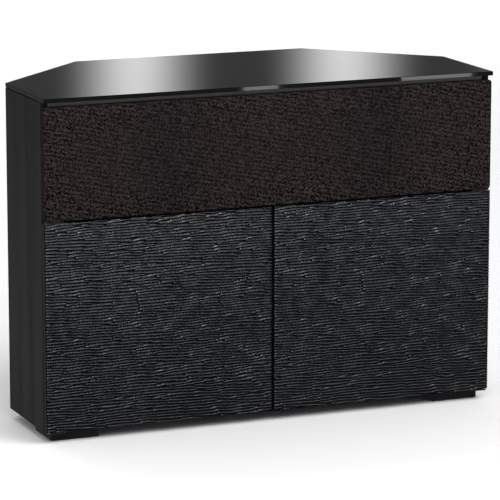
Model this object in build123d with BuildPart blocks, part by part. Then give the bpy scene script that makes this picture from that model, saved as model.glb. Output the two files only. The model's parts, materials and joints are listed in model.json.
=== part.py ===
from build123d import *

import os
from math import sqrt

# Corner media cabinet: a six-sided carcass that fits into a right-angled room corner, with a black
# glass top, a cloth-covered speaker bay, and two carved doors over two component bays.
# Millimetres. +X runs along the front, +Y goes back into the corner, +Z is up.
# The origin is on the floor, under the middle of the overall box.

# ---------------------------------------------------------------- driving dimensions
WIDTH = 1118.0            # over the side panels, and the glass
DEPTH = 531.0             # front edge of the glass to the rear panel
HEIGHT = 796.0            # floor to glass
BACK_WIDTH = 590.0        # outside width of the flat rear panel
PANEL = 18.0              # thickness of every carcass board

GLASS = 10.0              # thickness of the top
GLASS_OVERHANG = 4.0      # glass in front of the door fronts
GLASS_ARRIS = 0.8         # polished chamfer round the glass
BUMPER = 1.5              # soft discs under the glass
BUMPER_RADIUS = 8.0

FOOT_HEIGHT = 25.0
FOOT_PAD = 1.5
FOOT_WIDTH = 117.0
FOOT_DEPTH = 109.0
FOOT_SETBACK = 6.0        # foot behind the carcass front
PAD_WIDTH = 68.0
PAD_DEPTH = 88.0
FOOT_SCREW_DX = 47.0      # each side of a foot's middle
FOOT_SCREW_RADIUS = 2.0
FOOT_SCREW_HEAD = 4.5
FOOT_SCREW_HEAD_HEIGHT = 2.8
FOOT_SCREW_IN_BOARD = 14.0
FOOT_BORE_RADIUS = 5.2    # counterbore for its head
FOOT_BORE_DEPTH = 11.5

DOOR_SKIN = 4.0           # carved front leaf of a door
DOOR_CORE = 13.5          # flat board behind it
CORE_INSET = 1.0          # core smaller than the leaf all round
DOOR_TO_CARCASS = 2.5
DOOR_BOTTOM = 26.5
DOOR_TOP = 510.5
CENTRE_GAP = 3.5          # between the two doors

SPEAKER_SHELF_TOP = 511.5
GRILLE_BOTTOM = 515.5
GRILLE_TOP = 775.0
GRILLE_SIDE_INSET = 1.0
GRILLE_CORNER = 6.0
CLOTH = 0.8
CLOTH_FOLD = 22.0         # cloth turned over onto the back of the frame
FRAME_BAR = 42.0
MULLION_BAR = 29.4
MULLION_XS = (-185.0, 185.0)
FRAME_BACK_GAP = 2.5      # grille back to the carcass front
STUD_RADIUS = 2.0
STUD_BALL = 3.0           # the part that clicks into the socket
STUD_FLANGE = 4.4
STUD_IN_FRAME = 9.0
STUD_REACH = 11.5
SOCKET_RADIUS = 6.0
SOCKET_DEPTH = 14.0

RAIL_DEPTH = 12.0
RAIL_WALL = 1.8
RAIL_LIP = 3.4            # turned-in edges at the back of the rail

PIVOT_FROM_SIDE = 7.0     # door pivot inside the side's outer face
PIVOT_FROM_FRONT = 8.0    # and behind the door's front
PIN_RADIUS = 2.5
PIN_CLEARANCE = 0.05
PIN_HEAD_RADIUS = 4.0
PIN_HEAD = 1.0
PIN_REACH = 12.0          # beyond the plate, into the door
BUSHING_RADIUS = 3.8
BUSHING_DEPTH = 12.0
PLATE = 2.5
PLATE_NOSE = 5.5          # plate's radius round the pivot pin
PLATE_X = (512.0, 540.5)
PLATE_LENGTH = 40.0       # behind the carcass front

SHELF_THICKNESS = 18.0
SHELF_CLEARANCE = 15.0    # air behind an adjustable shelf
SHELF_FRONT_SETBACK = 25.0
PIN_ROW_MIDDLE = 256.0
PIN_ROW_PITCH = 64.0
SHELF_PIN_RADIUS = 2.5
SHELF_PIN_HOLE = 2.55
SHELF_PIN_DEPTH = 8.0
SHELF_PIN_NOSE = 7.5      # thicker end that carries the shelf

CAM_RADIUS = 7.5
CAM_DEPTH = 12.5
CAM_FROM_EDGE = 34.0
CAM_BOLT_RADIUS = 3.0
CAM_BOLT_IN_SIDE = 11.0
CAM_SLOT = (8.0, 1.4, 2.0)
HOLE_CLEARANCE = 0.1

# The wood screws.
REAR_SCREW = {"head_radius": 3.8, "shank_radius": 1.9}
REAR_SCREW_LENGTH = 40.0
DIVIDER_SCREW = {"head_radius": 5.0, "shank_radius": 2.5}
DIVIDER_SCREW_LENGTH = 50.0
PLATE_SCREW = {"head_radius": 3.6, "shank_radius": 1.8}
PLATE_SCREW_LENGTH = 15.0
LATCH_SCREW = {"head_radius": 2.6, "shank_radius": 1.4}
LATCH_SCREW_LENGTH = 12.0

PORT_WIDTH = 84.0
PORT_HEIGHT = 40.0
GROMMET_WALL = 3.0
GROMMET_FLANGE = 7.0
GROMMET_LIP = 2.0

VENT_LENGTH = 96.0
VENT_WIDTH = 6.0
VENT_PITCH = 16.0
VENT_COUNT = 13
VENT_ZS = (150.0, 375.0, 650.0)

LATCH_X = 30.0            # touch latch from the middle of the cabinet
LATCH_LENGTH = 58.0
LATCH_WIDTH = 16.0
LATCH_HEIGHT = 14.0
PLUNGER_RADIUS = 4.0
PLUNGER_LENGTH = 34.0
LATCH_GAP = 0.3           # magnet to strike with the door shut
LATCH_SETBACK = 2.0       # housing behind the carcass front
LATCH_EAR = 3.0
LATCH_SCREW_DX = 13.5
MAGNET = 2.0
SPRING_RADIUS = 3.0
SPRING_WIRE = 0.4
STRIKE_RADIUS = 9.0
STRIKE = 1.2

# ---------------------------------------------------------------- derived places
HALF = WIDTH / 2
FRONT = -DEPTH / 2 + GLASS_OVERHANG                    # plane of the door and grille fronts
CARCASS_FRONT = FRONT + DOOR_SKIN + DOOR_CORE + DOOR_TO_CARCASS
DOOR_BACK = FRONT + DOOR_SKIN + DOOR_CORE
REAR = DEPTH / 2
SIDE_REAR = REAR - (WIDTH - BACK_WIDTH) / 2            # where the 45 degree rear panels start
CASE_BOTTOM = FOOT_HEIGHT
CASE_TOP = HEIGHT - GLASS - BUMPER
SHELF_ZS = {
    "bottom": CASE_BOTTOM,
    "speaker": SPEAKER_SHELF_TOP - PANEL,
    "top": CASE_TOP - PANEL,
}
SIDE_INNER = HALF - PANEL
REAR_INNER = REAR - PANEL
CAM_YS = (CARCASS_FRONT + 85.0, CARCASS_FRONT + 195.0)
PIN_YS = (CARCASS_FRONT + 40.0, CARCASS_FRONT + 190.0)
DIVIDER_PIN_YS = (CARCASS_FRONT + 40.0, CARCASS_FRONT + 390.0)
PIN_ZS = tuple(PIN_ROW_MIDDLE + i * PIN_ROW_PITCH for i in (-1, 0, 1))
SOCKET_ZS = (GRILLE_BOTTOM + 26.0, GRILLE_TOP - 26.0)
PORTS = {"left": (-150.0, 140.0), "right": (150.0, 140.0), "centre": (0.0, SPEAKER_SHELF_TOP + 60.0)}
SIDES = {"left": -1, "right": 1}

os.makedirs("parts", exist_ok=True)


def save(piece, name):
    piece.label = name
    export_step(piece, f"parts/{name}.step")


def corner_points(inset, front):
    """The right-hand corners of the six-sided plan, moved in by inset on every side but the front."""
    diagonal = HALF + SIDE_REAR - inset * sqrt(2)      # x + y along the 45 degree side
    side = HALF - inset
    rear = REAR - inset
    return (side, front), (side, diagonal - side), (diagonal - rear, rear)


def plan_outline(inset, front):
    right = corner_points(inset, front)
    return [*right, *[(-x, y) for x, y in reversed(right)]]


def prism(points, bottom, top):
    """An upright prism, added to the part being built."""
    with BuildSketch(Plane.XY.offset(bottom)) as outline:
        with BuildLine():
            Polyline(*points, close=True)
        make_face()
    extrude(outline.sketch, amount=top - bottom, dir=(0, 0, 1))


def drill(points, outward, radius, depth):
    """Round holes whose mouths are at points and whose axes point outward, out of the material."""
    with Locations(*[Plane(origin=p, z_dir=outward) for p in points]):
        Hole(radius=radius, depth=depth)


def make_screw(head_radius, shank_radius, length, head_height):
    """A countersunk wood screw: its head's flat top is at the origin and its shank runs down -Z."""
    tip = shank_radius * 1.6
    with BuildPart() as screw:
        with BuildSketch(Plane.XZ):
            with BuildLine():
                Polyline(
                    (0, 0),
                    (head_radius, 0),
                    (shank_radius, -head_height),
                    (shank_radius, -length + tip),
                    (0, -length),
                    close=True,
                )
            make_face()
        revolve(axis=Axis.Z)
        with BuildSketch(Plane.XY):
            Rectangle(head_radius * 1.1, head_radius * 0.22)
            Rectangle(head_radius * 0.22, head_radius * 1.1)
        extrude(amount=-head_height * 0.5, mode=Mode.SUBTRACT)
    return screw.part


def screw_holes(points, outward, head_radius, shank_radius, depth):
    """Countersunk clearance holes for make_screw."""
    with Locations(*[Plane(origin=p, z_dir=outward) for p in points]):
        CounterSinkHole(
            radius=shank_radius + HOLE_CLEARANCE,
            counter_sink_radius=head_radius + HOLE_CLEARANCE,
            depth=depth,
            counter_sink_angle=90,
        )


# ---------------------------------------------------------------- places of the fasteners
SHELF_MID_ZS = [z + PANEL / 2 for z in SHELF_ZS.values()]
DIAGONAL_MIDDLE_X = (HALF + BACK_WIDTH / 2) / 2
DIAGONAL_MIDDLE_Y = (SIDE_REAR + REAR) / 2
DIAGONAL_SCREW_OFFSET = 140.0 / sqrt(2)
CENTRE_SCREW_XS = (-230.0, 230.0)
DIVIDER_SCREW_YS = (CARCASS_FRONT + 85.0, CARCASS_FRONT + 355.0)
DIVIDER_SCREW_ZS = (110.0, 256.0, 400.0)


def diagonal_screw_points(sign):
    points = []
    for z in SHELF_MID_ZS:
        for along in (-DIAGONAL_SCREW_OFFSET, DIAGONAL_SCREW_OFFSET):
            points.append((sign * (DIAGONAL_MIDDLE_X - along), DIAGONAL_MIDDLE_Y + along, z))
    return points


def diagonal_outward(sign):
    return (sign / sqrt(2), 1 / sqrt(2), 0)


def pilot_radius(screw):
    return screw["shank_radius"] + HOLE_CLEARANCE


centre_screw_points = [(x, REAR, z) for z in SHELF_MID_ZS for x in CENTRE_SCREW_XS]
divider_rear_points = [(0, REAR, z) for z in DIVIDER_SCREW_ZS]
rear_pilot_depth = REAR_SCREW_LENGTH - PANEL + 1.0
divider_pilot_depth = DIVIDER_SCREW_LENGTH - PANEL + 2.0


def cut_rear_pilots(z_middle):
    """Pilot holes for the rear panel screws, in the back edges of a horizontal board."""
    radius = pilot_radius(REAR_SCREW)
    drill([(x, REAR_INNER, z_middle) for x in CENTRE_SCREW_XS], (0, 1, 0), radius, rear_pilot_depth)
    for sign in SIDES.values():
        step = PANEL / sqrt(2)
        points = [
            (x - sign * step, y - step, z)
            for x, y, z in diagonal_screw_points(sign)
            if abs(z - z_middle) < 1
        ]
        drill(points, diagonal_outward(sign), radius, rear_pilot_depth)


def cut_cams(z_board, face_up):
    """Cam pockets and their bolt holes, at both ends of a horizontal board."""
    mouth = z_board + PANEL if face_up else z_board
    for sign in SIDES.values():
        centres = [(sign * (SIDE_INNER - CAM_FROM_EDGE), y, mouth) for y in CAM_YS]
        drill(centres, (0, 0, 1 if face_up else -1), CAM_RADIUS, CAM_DEPTH)
        bolts = [(sign * SIDE_INNER, y, z_board + PANEL / 2) for y in CAM_YS]
        radius = CAM_BOLT_RADIUS + HOLE_CLEARANCE
        drill(bolts, (sign, 0, 0), radius, CAM_FROM_EDGE)


# ---------------------------------------------------------------- upright carcass boards
for side, sign in SIDES.items():
    outer = corner_points(0, CARCASS_FRONT)
    inner = corner_points(PANEL, CARCASS_FRONT)
    with BuildPart() as side_panel:
        prism(
            [(sign * x, y) for x, y in (outer[0], outer[1], inner[1], inner[0])],
            CASE_BOTTOM,
            CASE_TOP,
        )
        front_edges = side_panel.edges().filter_by(Axis.Z).group_by(Axis.Y)[0]
        chamfer(front_edges.sort_by(Axis.X)[0 if sign < 0 else -1], 0.6)
        pin_holes = [(sign * SIDE_INNER, y, z) for y in PIN_YS for z in PIN_ZS]
        drill(pin_holes, (-sign, 0, 0), SHELF_PIN_HOLE, SHELF_PIN_DEPTH)
        bolts = [(sign * SIDE_INNER, y, z) for y in CAM_YS for z in SHELF_MID_ZS]
        drill(bolts, (-sign, 0, 0), CAM_BOLT_RADIUS + HOLE_CLEARANCE, CAM_BOLT_IN_SIDE + 1)
        sockets = [(sign * (HALF - PANEL / 2), CARCASS_FRONT, z) for z in SOCKET_ZS]
        drill(sockets, (0, -1, 0), SOCKET_RADIUS, SOCKET_DEPTH)
    save(side_panel.part, f"{side}_side_panel")

    with BuildPart() as rear_panel:
        prism(
            [(sign * x, y) for x, y in (outer[1], outer[2], inner[2], inner[1])],
            CASE_BOTTOM,
            CASE_TOP,
        )
        for z in VENT_ZS:
            face = Plane(
                origin=(sign * DIAGONAL_MIDDLE_X, DIAGONAL_MIDDLE_Y, z),
                x_dir=(-sign / sqrt(2), 1 / sqrt(2), 0),
                z_dir=diagonal_outward(sign),
            )
            with BuildSketch(face):
                with GridLocations(VENT_PITCH, 1, VENT_COUNT, 1):
                    SlotOverall(VENT_LENGTH, VENT_WIDTH, rotation=90)
            extrude(amount=-PANEL - 1, mode=Mode.SUBTRACT)
        screw_holes(diagonal_screw_points(sign), diagonal_outward(sign), depth=PANEL + 1, **REAR_SCREW)
    save(rear_panel.part, f"{side}_rear_panel")

with BuildPart() as centre_rear_panel:
    outer = corner_points(0, 0)[2]
    inner = corner_points(PANEL, 0)[2]
    prism([outer, inner, (-inner[0], inner[1]), (-outer[0], outer[1])], CASE_BOTTOM, CASE_TOP)
    for x, z in PORTS.values():
        with BuildSketch(Plane(origin=(x, REAR, z), x_dir=(-1, 0, 0), z_dir=(0, 1, 0))):
            SlotOverall(PORT_WIDTH, PORT_HEIGHT)
        extrude(amount=-PANEL, mode=Mode.SUBTRACT)
    screw_holes(centre_screw_points + divider_rear_points, (0, 1, 0), depth=PANEL + 1, **REAR_SCREW)
save(centre_rear_panel.part, "centre_rear_panel")

# Each port is lined by a grommet, pushed in from inside the cabinet.
for port, (x, z) in PORTS.items():
    with BuildPart() as grommet:
        inside_face = Plane(origin=(x, REAR_INNER, z), x_dir=(-1, 0, 0), z_dir=(0, 1, 0))
        with BuildSketch(inside_face):
            SlotOverall(PORT_WIDTH - 0.2, PORT_HEIGHT - 0.2)
        extrude(amount=PANEL - 0.5)
        with BuildSketch(inside_face):
            SlotOverall(PORT_WIDTH + 2 * GROMMET_FLANGE, PORT_HEIGHT + 2 * GROMMET_FLANGE)
        extrude(amount=-GROMMET_LIP)
        with BuildSketch(inside_face.offset(-GROMMET_LIP)):
            SlotOverall(PORT_WIDTH - 2 * GROMMET_WALL, PORT_HEIGHT - 2 * GROMMET_WALL)
        extrude(amount=PANEL + GROMMET_LIP, mode=Mode.SUBTRACT)
        fillet(grommet.edges().group_by(Axis.Y)[0], 0.8)
    save(grommet.part, f"{port}_cable_grommet")

with BuildPart() as centre_divider:
    divider_top = SPEAKER_SHELF_TOP - PANEL
    prism(
        [
            (-PANEL / 2, CARCASS_FRONT),
            (PANEL / 2, CARCASS_FRONT),
            (PANEL / 2, REAR_INNER),
            (-PANEL / 2, REAR_INNER),
        ],
        CASE_BOTTOM + PANEL,
        divider_top,
    )
    for sign in SIDES.values():
        holes = [(sign * PANEL / 2, y, z) for y in DIVIDER_PIN_YS for z in PIN_ZS]
        drill(holes, (sign, 0, 0), SHELF_PIN_HOLE, SHELF_PIN_DEPTH)
    rear_ends = [(0, REAR_INNER, z) for z in DIVIDER_SCREW_ZS]
    drill(rear_ends, (0, 1, 0), pilot_radius(REAR_SCREW), rear_pilot_depth)
    for end, outward in ((divider_top, 1), (CASE_BOTTOM + PANEL, -1)):
        ends = [(0, y, end) for y in DIVIDER_SCREW_YS]
        drill(ends, (0, 0, outward), pilot_radius(DIVIDER_SCREW), divider_pilot_depth)
save(centre_divider.part, "centre_divider")

# ---------------------------------------------------------------- horizontal carcass boards
PIVOT_X = HALF - PIVOT_FROM_SIDE
PIVOT_Y = FRONT + PIVOT_FROM_FRONT
PLATE_REAR = CARCASS_FRONT + PLATE_LENGTH
PLATE_SCREW_XY = ((526.0, CARCASS_FRONT + 10.5), (526.0, CARCASS_FRONT + 29.5))
LATCH_Y = CARCASS_FRONT + LATCH_SETBACK + LATCH_LENGTH / 2

front_foot_x = SIDE_INNER - FOOT_WIDTH / 2
front_foot_y = CARCASS_FRONT + FOOT_SETBACK + FOOT_DEPTH / 2
rear_foot_x = BACK_WIDTH / 2 - 10.0 - FOOT_WIDTH / 2
rear_foot_y = REAR - 8.0 - FOOT_DEPTH / 2
FEET = {
    "front_left_foot": (-front_foot_x, front_foot_y),
    "front_right_foot": (front_foot_x, front_foot_y),
    "rear_left_foot": (-rear_foot_x, rear_foot_y),
    "rear_right_foot": (rear_foot_x, rear_foot_y),
    "centre_foot": (0.0, CARCASS_FRONT + 155.0),
}
foot_screw_points = [
    (x + dx, y, CASE_BOTTOM)
    for x, y in FEET.values()
    for dx in (-FOOT_SCREW_DX, FOOT_SCREW_DX)
]
plate_screw_xys = [(sign * x, y) for sign in SIDES.values() for x, y in PLATE_SCREW_XY]

with BuildPart() as bottom_panel:
    prism(plan_outline(PANEL, CARCASS_FRONT), CASE_BOTTOM, CASE_BOTTOM + PANEL)
    cut_cams(CASE_BOTTOM, face_up=True)
    cut_rear_pilots(CASE_BOTTOM + PANEL / 2)
    drill(foot_screw_points, (0, 0, -1), FOOT_SCREW_RADIUS + HOLE_CLEARANCE, FOOT_SCREW_IN_BOARD + 1)
    plate_pilots = [(x, y, CASE_BOTTOM) for x, y in plate_screw_xys]
    drill(plate_pilots, (0, 0, -1), pilot_radius(PLATE_SCREW), PLATE_SCREW_LENGTH - 1)
    divider_holes = [(0, y, CASE_BOTTOM) for y in DIVIDER_SCREW_YS]
    screw_holes(divider_holes, (0, 0, -1), depth=PANEL + 1, **DIVIDER_SCREW)
save(bottom_panel.part, "bottom_panel")

with BuildPart() as speaker_shelf:
    prism(plan_outline(PANEL, CARCASS_FRONT), SHELF_ZS["speaker"], SPEAKER_SHELF_TOP)
    cut_cams(SHELF_ZS["speaker"], face_up=False)
    cut_rear_pilots(SHELF_ZS["speaker"] + PANEL / 2)
    plate_pilots = [(x, y, SPEAKER_SHELF_TOP) for x, y in plate_screw_xys]
    drill(plate_pilots, (0, 0, 1), pilot_radius(PLATE_SCREW), PLATE_SCREW_LENGTH - 1)
    divider_holes = [(0, y, SPEAKER_SHELF_TOP) for y in DIVIDER_SCREW_YS]
    screw_holes(divider_holes, (0, 0, 1), depth=PANEL + 1, **DIVIDER_SCREW)
    latch_pilots = [
        (sign * LATCH_X + dx, LATCH_Y, SHELF_ZS["speaker"])
        for sign in SIDES.values()
        for dx in (-LATCH_SCREW_DX, LATCH_SCREW_DX)
    ]
    drill(latch_pilots, (0, 0, -1), pilot_radius(LATCH_SCREW), LATCH_SCREW_LENGTH - 1)
save(speaker_shelf.part, "speaker_shelf")

with BuildPart() as top_panel:
    prism(plan_outline(PANEL, CARCASS_FRONT + RAIL_DEPTH), SHELF_ZS["top"], CASE_TOP)
    cut_cams(SHELF_ZS["top"], face_up=False)
    cut_rear_pilots(SHELF_ZS["top"] + PANEL / 2)
save(top_panel.part, "top_panel")

with BuildPart() as top_front_rail:
    middle = (CARCASS_FRONT + RAIL_DEPTH / 2, CASE_TOP - PANEL / 2)
    with BuildSketch(Plane.YZ.offset(-SIDE_INNER)):
        with Locations(middle):
            Rectangle(RAIL_DEPTH, PANEL)
        with Locations((middle[0] + RAIL_WALL / 2, middle[1])):
            Rectangle(RAIL_DEPTH - RAIL_WALL, PANEL - 2 * RAIL_WALL, mode=Mode.SUBTRACT)
        lip_y = CARCASS_FRONT + RAIL_DEPTH - RAIL_WALL / 2
        lip_inset = RAIL_WALL + RAIL_LIP / 2
        with Locations((lip_y, CASE_TOP - lip_inset), (lip_y, CASE_TOP - PANEL + lip_inset)):
            Rectangle(RAIL_WALL, RAIL_LIP)
    extrude(amount=2 * SIDE_INNER)
save(top_front_rail.part, "top_front_rail")

# ---------------------------------------------------------------- adjustable shelves and their pins
shelf_bottom = PIN_ROW_MIDDLE + SHELF_PIN_RADIUS + 1.0
for side, sign in SIDES.items():
    back = corner_points(PANEL + SHELF_CLEARANCE, CARCASS_FRONT)
    reach = SIDE_INNER - 1.0
    diagonal = back[1][0] + back[1][1]
    points = [
        (PANEL / 2 + 1.0, CARCASS_FRONT + SHELF_FRONT_SETBACK),
        (reach, CARCASS_FRONT + SHELF_FRONT_SETBACK),
        (reach, diagonal - reach),
        back[2],
        (PANEL / 2 + 1.0, back[2][1]),
    ]
    with BuildPart() as shelf:
        prism([(sign * x, y) for x, y in points], shelf_bottom, shelf_bottom + SHELF_THICKNESS)
        fillet(shelf.edges().filter_by(Axis.X).group_by(Axis.Y)[0], 1.0)
    save(shelf.part, f"{side}_shelf")

    with BuildPart() as shelf_pins:
        for x, into, ys in ((SIDE_INNER, 1, PIN_YS), (PANEL / 2, -1, DIVIDER_PIN_YS)):
            faces = [
                Plane(origin=(sign * x, y, PIN_ROW_MIDDLE), z_dir=(-sign * into, 0, 0)) for y in ys
            ]
            with Locations(*faces):
                Cylinder(
                    SHELF_PIN_RADIUS,
                    SHELF_PIN_DEPTH - 0.5,
                    align=(Align.CENTER, Align.CENTER, Align.MAX),
                )
                Cylinder(
                    SHELF_PIN_RADIUS + 1.0,
                    SHELF_PIN_NOSE,
                    align=(Align.CENTER, Align.CENTER, Align.MIN),
                )
    save(shelf_pins.part, f"{side}_shelf_pins")

# ---------------------------------------------------------------- glass top
with BuildPart() as glass_top:
    prism(plan_outline(0, -DEPTH / 2), HEIGHT - GLASS, HEIGHT)
    chamfer(glass_top.faces().sort_by(Axis.Z)[-1].edges(), GLASS_ARRIS)
    chamfer(glass_top.faces().sort_by(Axis.Z)[0].edges(), GLASS_ARRIS)
save(glass_top.part, "glass_top")

front_bumpers = [(x, CARCASS_FRONT + 24.0) for x in (-530, 0, 530)]
side_bumpers = [(x, SIDE_REAR - 36.0) for x in (-530, 530)]
rear_bumpers = [(x, REAR - 40.0) for x in (-270, 0, 270)]
with BuildPart() as glass_bumpers:
    with BuildSketch(Plane.XY.offset(CASE_TOP)):
        with Locations(*front_bumpers, *side_bumpers, *rear_bumpers):
            Circle(BUMPER_RADIUS)
    extrude(amount=BUMPER)
save(glass_bumpers.part, "glass_bumpers")

# ---------------------------------------------------------------- feet
for name, (x, y) in FEET.items():
    with BuildPart() as foot:
        with BuildSketch(Plane.XY.offset(FOOT_PAD)):
            with Locations((x, y)):
                RectangleRounded(FOOT_WIDTH, FOOT_DEPTH, 2.0)
        extrude(amount=FOOT_HEIGHT - FOOT_PAD)
        chamfer(foot.faces().sort_by(Axis.Z)[0].edges(), 0.8)
        sole = Plane(origin=(x, y, FOOT_PAD), z_dir=(0, 0, -1))
        with Locations(sole):
            with Locations((-FOOT_SCREW_DX, 0), (FOOT_SCREW_DX, 0)):
                CounterBoreHole(
                    radius=FOOT_SCREW_RADIUS + HOLE_CLEARANCE,
                    counter_bore_radius=FOOT_BORE_RADIUS,
                    counter_bore_depth=FOOT_BORE_DEPTH,
                    depth=FOOT_HEIGHT,
                )
        if name.startswith("front"):
            # Relief for the lower pivot plate, open at the foot's front and outer side.
            outer_side = 1 if x > 0 else -1
            relief_width = SIDE_INNER - PLATE_X[0] + 2.0
            relief_depth = PLATE_REAR - (CARCASS_FRONT + FOOT_SETBACK) + 2.0
            relief_x = outer_side * (SIDE_INNER + 1.0 - relief_width / 2)
            with BuildSketch(Plane.XY.offset(FOOT_HEIGHT)):
                with Locations((relief_x, y - FOOT_DEPTH / 2)):
                    Rectangle(relief_width, 2 * relief_depth)
            extrude(amount=-PLATE - 1.0, mode=Mode.SUBTRACT)
    save(foot.part, name)

with BuildPart() as foot_pads:
    with BuildSketch():
        with Locations(*FEET.values()):
            RectangleRounded(PAD_WIDTH, PAD_DEPTH, 6.0)
    extrude(amount=FOOT_PAD)
save(foot_pads.part, "foot_pads")

with BuildPart() as foot_screws:
    seat = FOOT_PAD + FOOT_BORE_DEPTH
    shank = CASE_BOTTOM + FOOT_SCREW_IN_BOARD - seat
    downward = (Align.CENTER, Align.CENTER, Align.MAX)
    upward = (Align.CENTER, Align.CENTER, Align.MIN)
    for x, y, _ in foot_screw_points:
        with Locations((x, y, seat)):
            Cylinder(FOOT_SCREW_HEAD, FOOT_SCREW_HEAD_HEIGHT, align=downward)
            Cylinder(FOOT_SCREW_RADIUS, shank, align=upward)
            with Locations((0, 0, -FOOT_SCREW_HEAD_HEIGHT)):
                Box(1.2, 5.5, FOOT_SCREW_HEAD_HEIGHT / 2, align=upward, mode=Mode.SUBTRACT)
save(foot_screws.part, "foot_screws")

# ---------------------------------------------------------------- knock-down fasteners and screws
with BuildPart() as cam_locks:
    for board, z in SHELF_ZS.items():
        mouth, outward = (z + PANEL, 1) if board == "bottom" else (z, -1)
        centres = [
            Plane(origin=(sign * (SIDE_INNER - CAM_FROM_EDGE), y, mouth), z_dir=(0, 0, outward))
            for sign in SIDES.values()
            for y in CAM_YS
        ]
        length, width, depth = CAM_SLOT
        with Locations(*centres):
            Cylinder(CAM_RADIUS - 0.1, CAM_DEPTH - 0.3, align=downward)
            Box(length, width, depth, align=downward, mode=Mode.SUBTRACT)
            Box(width, length, depth, align=downward, mode=Mode.SUBTRACT)
save(cam_locks.part, "cam_locks")

with BuildPart() as cam_bolts:
    ends = [
        Plane(origin=(sign * SIDE_INNER, y, z), z_dir=(sign, 0, 0))
        for sign in SIDES.values()
        for y in CAM_YS
        for z in SHELF_MID_ZS
    ]
    with Locations(*ends):
        Cylinder(CAM_BOLT_RADIUS, CAM_BOLT_IN_SIDE, align=(Align.CENTER, Align.CENTER, Align.MIN))
        Cylinder(
            CAM_BOLT_RADIUS,
            CAM_FROM_EDGE - CAM_RADIUS - 0.3,
            align=(Align.CENTER, Align.CENTER, Align.MAX),
        )
save(cam_bolts.part, "cam_bolts")

rear_screw = make_screw(length=REAR_SCREW_LENGTH, head_height=1.9, **REAR_SCREW)
with BuildPart() as rear_panel_screws:
    planes = [Plane(origin=p, z_dir=(0, 1, 0)) for p in centre_screw_points + divider_rear_points]
    for sign in SIDES.values():
        planes += [Plane(origin=p, z_dir=diagonal_outward(sign)) for p in diagonal_screw_points(sign)]
    with Locations(*planes):
        add(rear_screw)
save(rear_panel_screws.part, "rear_panel_screws")

divider_screw = make_screw(length=DIVIDER_SCREW_LENGTH, head_height=2.5, **DIVIDER_SCREW)
with BuildPart() as divider_screws:
    planes = [Plane(origin=(0, y, CASE_BOTTOM), z_dir=(0, 0, -1)) for y in DIVIDER_SCREW_YS]
    planes += [Plane(origin=(0, y, SPEAKER_SHELF_TOP), z_dir=(0, 0, 1)) for y in DIVIDER_SCREW_YS]
    with Locations(*planes):
        add(divider_screw)
save(divider_screws.part, "divider_screws")

# ---------------------------------------------------------------- door pivots
PLATE_LEVELS = {"lower": (FOOT_HEIGHT - PLATE, -1), "upper": (SPEAKER_SHELF_TOP, 1)}

for level, (bottom, head_side) in PLATE_LEVELS.items():
    with BuildPart() as pivot_plates:
        for sign in SIDES.values():
            with BuildSketch(Plane.XY.offset(bottom)):
                x0, x1 = PLATE_X
                plate_front = PIVOT_Y - PLATE_NOSE
                with Locations((sign * (x0 + x1) / 2, (plate_front + PLATE_REAR) / 2)):
                    Rectangle(x1 - x0, PLATE_REAR - plate_front)
                with Locations((sign * (x1 + PIVOT_X) / 2, PIVOT_Y)):
                    Rectangle(PIVOT_X - x1, 2 * PLATE_NOSE)
                with Locations((sign * PIVOT_X, PIVOT_Y)):
                    Circle(PLATE_NOSE)
            extrude(amount=PLATE)
        face_z = bottom + PLATE if head_side > 0 else bottom
        points = [(x, y, face_z) for x, y in plate_screw_xys]
        screw_holes(points, (0, 0, head_side), depth=PLATE + 1, **PLATE_SCREW)
        pins = [(sign * PIVOT_X, PIVOT_Y, face_z) for sign in SIDES.values()]
        drill(pins, (0, 0, head_side), PIN_RADIUS + 0.02, PLATE + 1)
    save(pivot_plates.part, f"{level}_pivot_plates")

with BuildPart() as pivot_pins:
    for bottom, head_side in PLATE_LEVELS.values():
        head_z = bottom + PLATE if head_side > 0 else bottom
        heads = [
            Plane(origin=(sign * PIVOT_X, PIVOT_Y, head_z), z_dir=(0, 0, head_side))
            for sign in SIDES.values()
        ]
        with Locations(*heads):
            Cylinder(PIN_HEAD_RADIUS, PIN_HEAD, align=(Align.CENTER, Align.CENTER, Align.MIN))
            Cylinder(PIN_RADIUS, PLATE + PIN_REACH, align=(Align.CENTER, Align.CENTER, Align.MAX))
save(pivot_pins.part, "pivot_pins")

plate_screw = make_screw(length=PLATE_SCREW_LENGTH, head_height=1.8, **PLATE_SCREW)
with BuildPart() as pivot_plate_screws:
    planes = []
    for bottom, head_side in PLATE_LEVELS.values():
        face_z = bottom + PLATE if head_side > 0 else bottom
        planes += [Plane(origin=(x, y, face_z), z_dir=(0, 0, head_side)) for x, y in plate_screw_xys]
    with Locations(*planes):
        add(plate_screw)
save(pivot_plate_screws.part, "pivot_plate_screws")

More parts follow.
